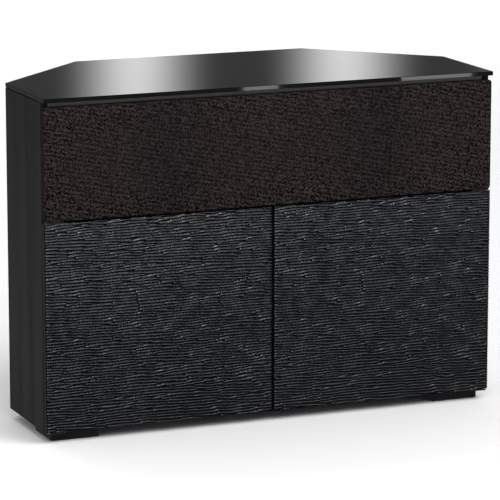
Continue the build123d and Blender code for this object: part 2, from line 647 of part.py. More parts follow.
# ---------------------------------------------------------------- touch latches
latch_z = SHELF_ZS["speaker"] - LATCH_HEIGHT / 2
latch_front = CARCASS_FRONT + LATCH_SETBACK
magnet_front = DOOR_BACK + LATCH_GAP
bore_depth = LATCH_LENGTH - 6.0
bore_end = latch_front + bore_depth
for side, sign in SIDES.items():
    x = sign * LATCH_X
    with BuildPart() as housing:
        with Locations((x, LATCH_Y, SHELF_ZS["speaker"])):
            Box(LATCH_WIDTH, LATCH_LENGTH, LATCH_HEIGHT, align=(Align.CENTER, Align.CENTER, Align.MAX))
        fillet(housing.edges().filter_by(Axis.Y).group_by(Axis.Z)[0], 3.0)
        with Locations((x, LATCH_Y, SHELF_ZS["speaker"])):
            Box(2 * LATCH_SCREW_DX + 9.0, 12.0, LATCH_EAR, align=(Align.CENTER, Align.CENTER, Align.MAX))
        drill([(x, latch_front, latch_z)], (0, -1, 0), PLUNGER_RADIUS + 0.15, bore_depth)
        ear_z = SHELF_ZS["speaker"] - LATCH_EAR
        ears = [(x + dx, LATCH_Y, ear_z) for dx in (-LATCH_SCREW_DX, LATCH_SCREW_DX)]
        screw_holes(ears, (0, 0, -1), depth=LATCH_EAR + 1, **LATCH_SCREW)
    save(housing.part, f"{side}_latch_housing")

    with BuildPart() as plunger:
        with Locations(Plane(origin=(x, magnet_front + MAGNET, latch_z), z_dir=(0, 1, 0))):
            Cylinder(PLUNGER_RADIUS, PLUNGER_LENGTH, align=(Align.CENTER, Align.CENTER, Align.MIN))
    save(plunger.part, f"{side}_latch_plunger")

    with BuildPart() as magnet:
        with Locations(Plane(origin=(x, magnet_front, latch_z), z_dir=(0, 1, 0))):
            Cylinder(PLUNGER_RADIUS - 0.3, MAGNET, align=(Align.CENTER, Align.CENTER, Align.MIN))
    save(magnet.part, f"{side}_latch_magnet")

    spring_start = magnet_front + MAGNET + PLUNGER_LENGTH + 0.5
    with BuildPart() as spring:
        with BuildLine() as coil:
            Helix(
                pitch=2.6,
                height=bore_end - spring_start - 0.5,
                radius=SPRING_RADIUS,
                center=(x, spring_start, latch_z),
                direction=(0, 1, 0),
            )
        with BuildSketch(coil.line ^ 0):
            Circle(SPRING_WIRE)
        sweep()
    save(spring.part, f"{side}_latch_spring")

latch_screw = make_screw(length=LATCH_SCREW_LENGTH, head_height=1.2, **LATCH_SCREW)
with BuildPart() as latch_screws:
    planes = [Plane(origin=(x, y, z - LATCH_EAR), z_dir=(0, 0, -1)) for x, y, z in latch_pilots]
    with Locations(*planes):
        add(latch_screw)
save(latch_screws.part, "latch_screws")

# ---------------------------------------------------------------- doors
for side, sign in SIDES.items():
    near, far = CENTRE_GAP / 2, HALF
    with BuildPart() as door_front:
        with Locations((sign * (near + far) / 2, FRONT, (DOOR_BOTTOM + DOOR_TOP) / 2)):
            Box(
                far - near,
                DOOR_SKIN,
                DOOR_TOP - DOOR_BOTTOM,
                align=(Align.CENTER, Align.MIN, Align.CENTER),
            )
        fillet(door_front.faces().sort_by(Axis.Y)[0].edges(), 1.0)
    save(door_front.part, f"{side}_door_front")

    core_bottom, core_top = DOOR_BOTTOM + CORE_INSET, DOOR_TOP - CORE_INSET
    with BuildPart() as door_core:
        with Locations((sign * (near + far) / 2, FRONT + DOOR_SKIN, (DOOR_BOTTOM + DOOR_TOP) / 2)):
            Box(
                far - near - 2 * CORE_INSET,
                DOOR_CORE,
                core_top - core_bottom,
                align=(Align.CENTER, Align.MIN, Align.CENTER),
            )
        drill([(sign * PIVOT_X, PIVOT_Y, core_top)], (0, 0, 1), BUSHING_RADIUS, BUSHING_DEPTH)
        drill([(sign * PIVOT_X, PIVOT_Y, core_bottom)], (0, 0, -1), BUSHING_RADIUS, BUSHING_DEPTH)
        drill([(sign * LATCH_X, DOOR_BACK, latch_z)], (0, 1, 0), STRIKE_RADIUS, STRIKE)
    save(door_core.part, f"{side}_door_core")

    with BuildPart() as bushings:
        lower_face = FOOT_HEIGHT + 0.15
        upper_face = SPEAKER_SHELF_TOP - 0.2
        sleeves = ((lower_face, core_bottom + BUSHING_DEPTH), (core_top - BUSHING_DEPTH, upper_face))
        for low, high in sleeves:
            with BuildSketch(Plane.XY.offset(low)):
                with Locations((sign * PIVOT_X, PIVOT_Y)):
                    Circle(BUSHING_RADIUS - 0.02)
                    Circle(PIN_RADIUS + PIN_CLEARANCE, mode=Mode.SUBTRACT)
            extrude(amount=high - low)
    save(bushings.part, f"{side}_door_bushings")

    with BuildPart() as strike:
        with Locations(Plane(origin=(sign * LATCH_X, DOOR_BACK, latch_z), z_dir=(0, 1, 0))):
            Cylinder(STRIKE_RADIUS - 0.1, STRIKE, align=(Align.CENTER, Align.CENTER, Align.MAX))
    save(strike.part, f"{side}_strike_plate")

# ---------------------------------------------------------------- speaker grille
GRILLE_WIDTH = WIDTH - 2 * GRILLE_SIDE_INSET
GRILLE_HEIGHT = GRILLE_TOP - GRILLE_BOTTOM
grille_middle = (GRILLE_BOTTOM + GRILLE_TOP) / 2
grille_back = CARCASS_FRONT - FRAME_BACK_GAP
frame_front, frame_back = FRONT + CLOTH, grille_back - CLOTH


def front_plane(y):
    """A sketch plane facing the room, at depth y."""
    return Plane(origin=(0, y, grille_middle), x_dir=(1, 0, 0), z_dir=(0, -1, 0))


with BuildPart() as grille_frame:
    outer_w, outer_h = GRILLE_WIDTH - 2 * CLOTH, GRILLE_HEIGHT - 2 * CLOTH
    with BuildSketch(front_plane(frame_back)):
        RectangleRounded(outer_w, outer_h, GRILLE_CORNER - CLOTH)
        Rectangle(outer_w - 2 * FRAME_BAR, outer_h - 2 * FRAME_BAR, mode=Mode.SUBTRACT)
        with Locations(*[(x, 0) for x in MULLION_XS]):
            Rectangle(MULLION_BAR, outer_h - FRAME_BAR)
    extrude(amount=frame_back - frame_front)
    studs = [(sign * (HALF - PANEL / 2), frame_back, z) for sign in SIDES.values() for z in SOCKET_ZS]
    drill(studs, (0, 1, 0), STUD_RADIUS + HOLE_CLEARANCE, STUD_IN_FRAME + 1)
save(grille_frame.part, "grille_frame")

with BuildPart() as grille_cloth:
    with BuildSketch(front_plane(frame_front)):
        RectangleRounded(GRILLE_WIDTH, GRILLE_HEIGHT, GRILLE_CORNER)
    extrude(amount=CLOTH)
    fillet(grille_cloth.faces().sort_by(Axis.Y)[0].edges(), 0.6)
save(grille_cloth.part, "grille_cloth")

with BuildPart() as cloth_turnover:
    with BuildSketch(front_plane(grille_back)):
        RectangleRounded(GRILLE_WIDTH, GRILLE_HEIGHT, GRILLE_CORNER)
    extrude(amount=grille_back - frame_front)
    with BuildSketch(front_plane(frame_back)):
        RectangleRounded(outer_w, outer_h, GRILLE_CORNER - CLOTH)
    extrude(amount=frame_back - frame_front, mode=Mode.SUBTRACT)
    with BuildSketch(front_plane(grille_back)):
        Rectangle(GRILLE_WIDTH - 2 * CLOTH_FOLD, GRILLE_HEIGHT - 2 * CLOTH_FOLD)
    extrude(amount=CLOTH, mode=Mode.SUBTRACT)
    drill([(x, grille_back, z) for x, _, z in studs], (0, 1, 0), STUD_FLANGE + 0.2, CLOTH)
save(cloth_turnover.part, "cloth_turnover")

with BuildPart() as grille_studs:
    for x, y, z in studs:
        with BuildSketch(Plane(origin=(x, y, z), x_dir=(1, 0, 0), z_dir=(0, 0, 1))):
            with BuildLine():
                Polyline(
                    (0, -STUD_IN_FRAME),
                    (STUD_RADIUS, -STUD_IN_FRAME),
                    (STUD_RADIUS, 0),
                    (STUD_FLANGE, 0),
                    (STUD_FLANGE, 1.4),
                    (STUD_RADIUS, 1.8),
                    (STUD_RADIUS, 6.0),
                    (STUD_BALL, 7.5),
                    (STUD_BALL, 9.5),
                    (STUD_RADIUS, STUD_REACH),
                    (0, STUD_REACH),
                    close=True,
                )
            make_face()
        revolve(axis=Axis((x, y, z), (0, 1, 0)))
save(grille_studs.part, "grille_studs")

with BuildPart() as grille_sockets:
    for x, _, z in studs:
        with Locations(Plane(origin=(x, CARCASS_FRONT, z), z_dir=(0, -1, 0))):
            Cylinder(SOCKET_RADIUS - 0.1, SOCKET_DEPTH - 0.2, align=(Align.CENTER, Align.CENTER, Align.MAX))
            Hole(radius=STUD_BALL + 0.3, depth=STUD_REACH + 0.5)
save(grille_sockets.part, "grille_sockets")
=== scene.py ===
# Corner media cabinet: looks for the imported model. Metres, in the model's own frame: the front faces -Y,
# +Z is up, and the floor is at z = 0.
import json
import math

import bmesh
import bpy
import numpy as np
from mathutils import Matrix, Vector


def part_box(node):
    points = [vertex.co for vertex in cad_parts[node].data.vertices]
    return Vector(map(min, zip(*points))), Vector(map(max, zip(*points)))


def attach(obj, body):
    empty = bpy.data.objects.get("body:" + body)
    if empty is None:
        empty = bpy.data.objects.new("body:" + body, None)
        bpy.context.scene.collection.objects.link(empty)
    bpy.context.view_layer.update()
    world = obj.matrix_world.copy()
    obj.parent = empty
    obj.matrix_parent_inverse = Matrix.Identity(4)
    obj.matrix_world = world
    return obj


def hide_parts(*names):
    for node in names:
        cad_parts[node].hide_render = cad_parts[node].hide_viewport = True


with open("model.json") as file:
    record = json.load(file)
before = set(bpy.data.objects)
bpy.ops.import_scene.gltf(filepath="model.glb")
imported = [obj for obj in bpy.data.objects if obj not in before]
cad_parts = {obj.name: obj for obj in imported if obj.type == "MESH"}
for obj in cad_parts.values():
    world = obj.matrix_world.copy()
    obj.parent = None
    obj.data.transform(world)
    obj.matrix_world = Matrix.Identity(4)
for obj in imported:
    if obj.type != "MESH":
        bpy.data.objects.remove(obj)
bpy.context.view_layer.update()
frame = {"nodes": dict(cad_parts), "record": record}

# ---------------------------------------------------------------- driving values
CAMERA_POSITION = (-2.918, -7.147, 1.935)
CAMERA_TURN = math.radians(22.55)      # to the right of +Y
CAMERA_TILT = math.radians(11.53)      # below the horizon
CAMERA_LENS = 237.4                    # on a 36 mm sensor

RIPPLE_PITCH = 0.0067                  # between the carved ridges of the doors
RIPPLE_DEPTH = 0.0028                  # deepest valley
RIPPLE_RUN = 13.0                      # spread of the ridge frequency along the door, cycles per metre
RIPPLE_SPREAD = 23.0                   # and across it
RIPPLE_SHARPNESS = 1.9                 # narrows the ridges and widens the valleys
RIPPLE_FADE = 0.08                     # lost height where a ridge fades out
RIPPLE_SEED = 11
CUT_LEAST = 0.75                       # height of close and of wide ridges, as a share of the usual one
CUT_MOST = 1.3
CARVE_STEP_X = 0.0040
CARVE_STEP_Z = 0.00075
LEAF_EDGE = 0.0012                     # rounded border of a carved leaf
PAINTED_HIGHLIGHT_TOP = 0.0006                     # depth below the leaf's face where the painted highlight on the ridges is strongest
PAINTED_HIGHLIGHT_FOOT = 0.0016                    # and where it has faded to the black stain

CLOTH_THICKNESS = 0.0007
CLOTH_FOLD = 0.022                     # cloth turned over onto the grille's back
CLOTH_CORNER = 0.006                   # rounded corners of the grille
CLOTH_BEND = 0.0014                    # radius over the frame's front and back edges
CLOTH_SAG = 0.0004                     # between the frame's bars
CLOTH_HELD = 0.03                      # border with no sag
CLOTH_EASE = 0.05                      # and how far it takes to reach the full sag
CLOTH_SHADE_X = 0.26                   # painted shade: darker, cooler zones over the two loudspeaker openings
CLOTH_SHADE_REACH = 0.13
WARP_PITCH = 0.0018
WEFT_PITCH = 0.0024
RIB_PITCH = 0.0098                     # slanting ribs of the weave
RIB_SLANT = math.radians(-12)

RING_RADIUS = 8.0                      # rings of light that only reflections see
# Rings of upright lights: bottom, top, brightness between the lights and at them.
BANDED_RINGS = {
    "high_ring": (3.4, 8.0, 0.05, 0.60),
    "upper_ring": (0.8, 3.4, 0.08, 1.45),
}
BAND_COUNT = 50
BAND_AZIMUTH = math.radians(18.93)     # of one of the lights, to the right of +Y
BAND_SHARPNESS = 2.1
BAND_FRONT = 0.35                      # share of the brightness left in front of the cabinet
# Even rings below them: bottom, top, brightness in front of the cabinet.
EVEN_RINGS = {
    "edge_ring": (-0.62, -0.25, 0.10),
    "low_ring_1": (-0.25, 0.8, 0.18),
    "low_ring_2": (-1.30, -0.62, 0.26),
    "low_ring_3": (-1.80, -1.30, 0.10),
    "low_ring_4": (-3.50, -1.80, 0.04),
}
EVEN_BEHIND = 0.14                     # their brightness behind it

# Upright lights that the front edge of the glass shows: azimuth, width.
EDGE_LIGHTS = {
    "edge_light_left": (math.radians(158.25), 0.10),
    "edge_light_right": (math.radians(152.3), 0.20),
}
EDGE_LIGHT_DISTANCE = 0.97 * RING_RADIUS
EDGE_LIGHT_HEIGHT = 0.5
EDGE_LIGHT_Z = -0.43
EDGE_LIGHT_RADIANCE = 3.5
EDGE_LIGHT_SHARES = (0.3, 0.7, 1.1, 1.6)    # widths of the nested lights that soften its sides

# Softboxes that only rough surfaces see: place, target, size, power.
FILL_LIGHTS = {
    "front_floor": ((0.0, -2.8, 2.4), (0, -0.9, 0), (4.0, 1.6), 75),
    "side_fill": ((-1.4, 0.1, 0.09), (-0.56, -0.1, 0.12), (1.0, 0.12), 5),
    "back_floor": ((-0.6, 1.8, 3.0), (-0.6, 0.8, 0), (2.6, 1.6), 22),
    "backdrop": ((1.2, 7.6, 3.5), (1.2, 7.6, 0), (9.0, 5.0), 165),
}
FLOOR_REACH = 60.0


# ---------------------------------------------------------------- material building
class Look:
    """A node material with one Principled shader, built step by step."""

    def __init__(self, name, colour, roughness, **sockets):
        self.material = bpy.data.materials.new(name)
        self.material.use_nodes = True
        self.tree = self.material.node_tree
        self.shader = self.tree.nodes["Principled BSDF"]
        self.colour = colour
        self.shader.inputs["Base Color"].default_value = (*colour, 1.0)
        self.shader.inputs["Roughness"].default_value = roughness
        for socket, value in sockets.items():
            self.shader.inputs[socket.replace("_", " ")].default_value = value
        self.position = self.tree.nodes.new("ShaderNodeTexCoord").outputs["Object"]

    def node(self, kind, **values):
        made = self.tree.nodes.new(kind)
        for name, value in values.items():
            setattr(made, name, value)
        return made

    def link(self, start, end):
        self.tree.links.new(start, end)

    def along(self, axis):
        """The position along one axis: 'X', 'Y' or 'Z'."""
        split = self.node("ShaderNodeSeparateXYZ")
        self.link(self.position, split.inputs[0])
        return split.outputs[axis]

    def stretched(self, scale):
        """The position, scaled by a different amount along each axis."""
        mapping = self.node("ShaderNodeMapping")
        mapping.inputs["Scale"].default_value = scale
        self.link(self.position, mapping.inputs["Vector"])
        return mapping.outputs["Vector"]

    def noise(self, scale, stretch=(1, 1, 1), detail=4.0, roughness=0.55):
        texture = self.node("ShaderNodeTexNoise")
        texture.inputs["Scale"].default_value = scale
        texture.inputs["Detail"].default_value = detail
        texture.inputs["Roughness"].default_value = roughness
        self.link(self.stretched(stretch), texture.inputs["Vector"])
        return texture.outputs["Fac"]

    def threads(self, axis, pitch, distortion=0.0, slant=0.0):
        """Sine bands across one axis: 'X', 'Y' or 'Z', turned by slant about Y."""
        turned = self.node("ShaderNodeMapping")
        turned.inputs["Rotation"].default_value = (0, slant, 0)
        self.link(self.position, turned.inputs["Vector"])
        wave = self.node("ShaderNodeTexWave", wave_type="BANDS", bands_direction=axis)
        wave.inputs["Scale"].default_value = math.pi / (10 * pitch)
        wave.inputs["Distortion"].default_value = distortion
        wave.inputs["Detail"].default_value = 1.0
        wave.inputs["Detail Scale"].default_value = 1.5
        self.link(turned.outputs["Vector"], wave.inputs["Vector"])
        return wave.outputs["Fac"]

    def off_centre(self, distance):
        """How far a point is from the two upright lines at x = distance and x = -distance."""
        out = self.node("ShaderNodeMath", operation="ABSOLUTE")
        self.link(self.along("X"), out.inputs[0])
        beside = self.node("ShaderNodeMath", operation="SUBTRACT")
        beside.inputs[1].default_value = distance
        self.link(out.outputs[0], beside.inputs[0])
        away = self.node("ShaderNodeMath", operation="ABSOLUTE")
        self.link(beside.outputs[0], away.inputs[0])
        return away.outputs[0]

    def ramp(self, value, low, high, start, end):
        """Maps value from low..high to start..end."""
        mapped = self.node("ShaderNodeMapRange")
        for socket, number in (("From Min", low), ("From Max", high), ("To Min", start), ("To Max", end)):
            mapped.inputs[socket].default_value = number
        self.link(value, mapped.inputs["Value"])
        return mapped.outputs["Result"]

    def combine(self, a, b, operation):
        maths = self.node("ShaderNodeMath", operation=operation)
        self.link(a, maths.inputs[0])
        self.link(b, maths.inputs[1])
        return maths.outputs[0]

    def tint(self, value, dark, light):
        """Base colour from dark to light as value goes from 0 to 1."""
        mix = self.node("ShaderNodeMix", data_type="RGBA")
        mix.inputs["A"].default_value = (*dark, 1.0)
        mix.inputs["B"].default_value = (*light, 1.0)
        self.link(value, mix.inputs["Factor"])
        self.link(mix.outputs["Result"], self.shader.inputs["Base Color"])
        return mix.outputs["Result"]

    def shades(self, value, low, high, spread):
        """Base colour from (1 - spread) to (1 + spread) times the plain one, as value goes low to high."""
        dark = tuple(c * (1 - spread) for c in self.colour)
        light = tuple(c * (1 + spread) for c in self.colour)
        self.tint(self.ramp(value, low, high, 0, 1), dark, light)

    def multiplied(self, colour, filter_colour, share):
        """Base colour: the given one times a filter colour, where share is 1."""
        mix = self.node("ShaderNodeMix", data_type="RGBA", blend_type="MULTIPLY")
        mix.inputs["B"].default_value = (*filter_colour, 1.0)
        self.link(colour, mix.inputs["A"])
        self.link(share, mix.inputs["Factor"])
        self.link(mix.outputs["Result"], self.shader.inputs["Base Color"])

    def rough(self, value, low, high, start, end):
        self.link(self.ramp(value, low, high, start, end), self.shader.inputs["Roughness"])

    def bump(self, height, distance, strength):
        bump = self.node("ShaderNodeBump")
        bump.inputs["Strength"].default_value = strength
        bump.inputs["Distance"].default_value = distance
        self.link(height, bump.inputs["Height"])
        self.link(bump.outputs["Normal"], self.shader.inputs["Normal"])


def black_glass():
    look = Look("black_glass", (0.003, 0.003, 0.0033), 0.02, IOR=1.52)
    smears = look.noise(7.0, detail=6.0)
    look.rough(smears, 0.35, 0.75, start=0.012, end=0.045)
    look.shades(smears, 0.3, 0.7, spread=0.15)
    return look.material


def side_laminate():
    """Charcoal laminate with a faint grain that runs up the boards."""
    look = Look("side_laminate", (0.0178, 0.0178, 0.0181), 0.50, Specular_IOR_Level=0.05)
    grain = look.noise(260.0, stretch=(1, 1, 0.018), detail=5.0)
    figure = look.noise(22.0, stretch=(1, 1, 0.05), detail=3.0)
    look.shades(look.combine(grain, figure, "ADD"), 0.75, 1.25, spread=0.28)
    look.rough(grain, 0.3, 0.7, start=0.36, end=0.50)
    look.bump(grain, distance=0.00012, strength=0.55)
    return look.material


def inner_laminate():
    look = Look("inner_laminate", (0.0150, 0.0150, 0.0155), 0.55)
    grain = look.noise(240.0, stretch=(0.02, 1, 1), detail=4.0)
    look.shades(grain, 0.35, 0.65, spread=0.2)
    look.rough(grain, 0.3, 0.7, start=0.50, end=0.62)
    look.bump(grain, distance=0.00008, strength=0.5)
    return look.material


def rail_metal():
    """Aluminium, brushed along its length."""
    look = Look("rail_metal", (0.50, 0.50, 0.505), 0.50, Metallic=1.0)
    brushed = look.noise(1500.0, stretch=(0.01, 1, 1), detail=2.0)
    look.rough(brushed, 0.3, 0.7, start=0.46, end=0.58)
    look.shades(brushed, 0.3, 0.7, spread=0.12)
    look.bump(brushed, distance=0.00002, strength=0.4)
    return look.material


def carved_wood():
    """Black-stained veneer over the carving, its pores running along the ridges, with a painted highlight
    that makes the ridge tops lighter.
    """
    look = Look("carved_wood", (0.0014, 0.0018, 0.0024), 0.10)
    pores = look.noise(900.0, stretch=(0.05, 1, 1), detail=4.0)
    cloud = look.noise(9.0, stretch=(0.4, 1, 1), detail=3.0)
    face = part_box("left_door_front")[0].y
    # painted highlight: the base colour turns lighter near the ridge tops, in place of the light their upper
    # flanks catch
    ridge = look.ramp(look.along("Y"), face + PAINTED_HIGHLIGHT_TOP, face + PAINTED_HIGHLIGHT_FOOT, 1, 0)
    highlight_variation = look.ramp(look.combine(pores, cloud, "ADD"), 0.75, 1.25, 0.6, 1.0)
    look.tint(look.combine(ridge, highlight_variation, "MULTIPLY"), dark=look.colour, light=(0.041, 0.0455, 0.054))
    look.rough(pores, 0.3, 0.7, start=0.08, end=0.13)
    look.bump(pores, distance=0.00005, strength=0.5)
    return look.material


def black_board():
    look = Look("black_board", (0.0135, 0.0135, 0.0140), 0.60)
    specks = look.noise(1400.0, detail=3.0)
    look.shades(specks, 0.35, 0.65, spread=0.25)
    look.rough(specks, 0.3, 0.7, start=0.52, end=0.68)
    look.bump(specks, distance=0.00006, strength=0.6)
    return look.material


def speaker_cloth():
    """Ribbed weave in two yarns: black, and a warm brown that shows more in some threads than others. Painted
    shade makes it darker and cooler where a loudspeaker cut-out lies behind it."""
    look = Look("speaker_cloth", (0.022, 0.018, 0.016), 0.90, Specular_IOR_Level=0.15)
    warp = look.threads("X", WARP_PITCH, distortion=0.6)
    weft = look.threads("Z", WEFT_PITCH, distortion=0.6)
    weave = look.combine(warp, weft, "MAXIMUM")
    ribs = look.threads("Z", RIB_PITCH, distortion=1.2, slant=RIB_SLANT)
    slub = look.noise(430.0, detail=0.0)
    lit = look.combine(slub, look.ramp(weave, 0, 1, 0.85, 1.02), "MULTIPLY")
    lit = look.combine(lit, look.ramp(ribs, 0, 1, 0.85, 1.10), "MULTIPLY")
    brown = look.ramp(lit, 0.43, 0.58, 0, 1)
    yarn = look.tint(brown, dark=(0.0003, 0.0002, 0.0002), light=(0.0315, 0.0225, 0.0205))
    # painted shade: darker, cooler cloth over each loudspeaker cut-out behind it
    painted_opening_shade = look.ramp(look.off_centre(CLOTH_SHADE_X), 0.0, CLOTH_SHADE_REACH, 1, 0)
    look.multiplied(yarn, (0.70, 0.73, 0.86), painted_opening_shade)
    look.bump(look.combine(weave, slub, "ADD"), distance=0.0004, strength=0.8)
    return look.material


def moulded(name, colour, roughness):
    """Injection-moulded plastic with a spark-eroded texture."""
    look = Look(name, colour, roughness)
    grain = look.noise(1800.0, detail=2.0)
    look.shades(grain, 0.35, 0.65, spread=0.1)
    look.rough(grain, 0.3, 0.7, start=roughness - 0.06, end=roughness + 0.06)
    look.bump(grain, distance=0.00005, strength=0.6)
    return look.material


def foot_felt():
    look = Look("foot_felt", (0.03, 0.03, 0.03), 0.9)
    fuzz = look.noise(2600.0, detail=4.0)
    look.shades(fuzz, 0.35, 0.65, spread=0.4)
    look.bump(fuzz, distance=0.0002, strength=0.8)
    return look.material


def zinc():
    look = Look("zinc", (0.60, 0.60, 0.58), 0.30, Metallic=1.0)
    spangle = look.noise(500.0, detail=3.0)
    look.shades(spangle, 0.3, 0.7, spread=0.12)
    look.rough(spangle, 0.3, 0.7, start=0.24, end=0.40)
    look.bump(spangle, distance=0.00003, strength=0.4)
    return look.material


def powder_coat():
    look = Look("powder_coat", (0.016, 0.016, 0.016), 0.45)
    peel = look.noise(900.0, detail=1.0)
    look.shades(peel, 0.35, 0.65, spread=0.1)
    look.rough(peel, 0.3, 0.7, start=0.40, end=0.52)
    look.bump(peel, distance=0.00008, strength=0.6)
    return look.material


def clear_bumper():
    look = Look("clear_bumper", (0.55, 0.55, 0.55), 0.35, Transmission_Weight=0.6, IOR=1.45)
    haze = look.noise(300.0, detail=2.0)
    look.rough(haze, 0.3, 0.7, start=0.28, end=0.45)
    return look.material


LOOKS = {
    "top_glass": black_glass(),
    "clear_bumper": clear_bumper(),
    "side_laminate": side_laminate(),
    "inner_laminate": inner_laminate(),
    "rail_metal": rail_metal(),
    "carved_front": carved_wood(),
    "door_core": black_board(),
    "grille_board": black_board(),
    "speaker_cloth": speaker_cloth(),
    "foot_plastic": moulded("foot_plastic", (0.010, 0.010, 0.010), 0.50),
    "foot_felt": foot_felt(),
    "black_plastic": moulded("black_plastic", (0.013, 0.013, 0.013), 0.40),
    "nylon": moulded("nylon", (0.55, 0.53, 0.47), 0.38),
    "plated_steel": zinc(),
    "black_steel": powder_coat(),
}


def dress_frame():
    """Gives every CAD node the material of its slot in the record."""
    for part in frame["record"]["subparts"]:
        node = frame["nodes"][part["node"]]
        node.data.materials.clear()
        node.data.materials.append(LOOKS[part["material_slot"]])


def add_piece(name, mesh, slot, body, *replaced):
    """A visible piece that rides on a body and stands for CAD nodes."""
    mesh.materials.append(LOOKS[slot])
    piece = bpy.data.objects.new(name, mesh)
    bpy.context.scene.collection.objects.link(piece)
    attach(piece, body)
    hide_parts(*replaced)
    return piece


# ---------------------------------------------------------------- carved door fronts
def smooth_step(value, low, high):
    t = np.clip((value - low) / (high - low), 0, 1)
    return t * t * (3 - 2 * t)


def ripples(columns, rows, step_x, step_z):
    """Depth of the carving at each grid point. Narrow-band noise gives hand-cut ridges that run along X,
    wander, split and join. Ridges that lie further apart are higher, so that all flanks are about equally
    steep."""
    random = np.random.default_rng(RIPPLE_SEED)
    white = random.standard_normal((rows, columns))
    along = np.fft.fftfreq(columns, step_x)[None, :]
    across = np.fft.fftfreq(rows, step_z)[:, None]
    band = np.exp(-0.5 * ((across - 1 / RIPPLE_PITCH) / RIPPLE_SPREAD) ** 2)
    band = band * np.exp(-0.5 * (along / RIPPLE_RUN) ** 2)
    wave = np.fft.ifft2(np.fft.fft2(white) * band)

    size = np.abs(wave)
    mean_size = size.mean()
    steady_square = size**2 + 0.06 * mean_size**2      # not zero where ridges split
    turn = np.imag(np.conj(wave) * np.gradient(wave, axis=0)) / steady_square
    usual_turn = math.tau * step_z / RIPPLE_PITCH
    cut = np.clip(usual_turn / np.maximum(turn, 0.01), CUT_LEAST, CUT_MOST)

    crest = (0.5 + 0.5 * np.cos(np.angle(wave))) ** RIPPLE_SHARPNESS
    fade = 1 - RIPPLE_FADE * (1 - smooth_step(size / mean_size, 0.1, 0.8))
    return RIPPLE_DEPTH * (1 - crest * fade * cut / CUT_MOST)


def carved_leaf(name, node, body):
    """The front leaf of a door: a fine carved face, straight sides and a flat back, closed."""
    low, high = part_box(node)
    columns = round((high.x - low.x) / CARVE_STEP_X) + 1
    rows = round((high.z - low.z) / CARVE_STEP_Z) + 1
    xs = np.linspace(low.x, high.x, columns)
    zs = np.linspace(low.z, high.z, rows)
    depth = ripples(columns, rows, xs[1] - xs[0], zs[1] - zs[0])
    grid_x, grid_z = np.meshgrid(xs, zs)
    from_side = np.minimum(grid_x - low.x, high.x - grid_x)
    from_end = np.minimum(grid_z - low.z, high.z - grid_z)
    inside = np.clip(LEAF_EDGE - np.minimum(from_side, from_end), 0, LEAF_EDGE)
    depth = depth + LEAF_EDGE - np.sqrt(LEAF_EDGE**2 - inside**2)
    front = np.stack([grid_x, low.y + depth, grid_z], axis=-1).reshape(-1, 3)

    index = np.arange(rows * columns).reshape(rows, columns)
    quads = np.stack([index[:-1, :-1], index[:-1, 1:], index[1:, 1:], index[1:, :-1]], axis=-1)
    border = np.concatenate([index[0, :-1], index[:-1, -1], index[-1, :0:-1], index[:0:-1, 0]])
    back = front[border].copy()
    back[:, 1] = high.y
    centre = np.array([[(low.x + high.x) / 2, high.y, (low.z + high.z) / 2]])
    vertices = np.concatenate([front, back, centre])

    faces = quads.reshape(-1, 4).tolist()
    carved = len(faces)
    first = len(front)
    middle = len(vertices) - 1
    for i in range(len(border)):
        j = (i + 1) % len(border)
        faces.append([int(border[j]), int(border[i]), first + i, first + j])
        faces.append([first + j, first + i, middle])
    mesh = bpy.data.meshes.new(name)
    mesh.from_pydata(vertices.tolist(), [], faces)
    mesh.polygons.foreach_set("use_smooth", [i < carved for i in range(len(faces))])
    mesh.update()
    add_piece(name, mesh, "carved_front", body, node)


# ---------------------------------------------------------------- speaker cloth
def outline(half_width, half_height, radius, upright_steps, level_steps, corner_steps):
    """Points of a rounded rectangle, counter-clockwise from the lower right corner's start."""
    corners = ((1, -1, -90), (1, 1, 0), (-1, 1, 90), (-1, -1, 180))
    points = []
    for i, (sx, sz, start) in enumerate(corners):
        centre = (sx * (half_width - radius), sz * (half_height - radius))
        for k in range(corner_steps + 1):
            angle = math.radians(start + 90 * k / corner_steps)
            points.append((centre[0] + radius * math.cos(angle), centre[1] + radius * math.sin(angle)))
        nx, nz, next_start = corners[(i + 1) % 4]
        angle = math.radians(next_start)
        target = (
            nx * (half_width - radius) + radius * math.cos(angle),
            nz * (half_height - radius) + radius * math.sin(angle),
        )
        last = points[-1]
        count = (upright_steps, level_steps)[i % 2]
        for k in range(1, count):
            t = k / count
            points.append((last[0] + t * (target[0] - last[0]), last[1] + t * (target[1] - last[1])))
    return points


def cloth_sections(front, back, half_height):
    """How far the cloth lies inside the grille's outline, and its y, from the turned-over hem round the
    frame's back and front edges to the middle of the front."""
    sections = [(CLOTH_FOLD, back), (CLOTH_BEND * 2, back)]
    for k in range(5):
        angle = math.radians(90 * k / 4)
        sections.append((CLOTH_BEND * (1 - math.sin(angle)), back - CLOTH_BEND * (1 - math.cos(angle))))
    for k in range(7):
        angle = math.radians(90 * k / 6)
        sections.append((CLOTH_BEND * (1 - math.cos(angle)), front + CLOTH_BEND * (1 - math.sin(angle))))
    rings = 14
    for k in range(1, rings + 1):
        almost_in = 0.995 * k / rings      # the last ring stays open by a hair, and is merged
        sections.append((CLOTH_BEND + (half_height - CLOTH_BEND) * almost_in, front))
    return sections


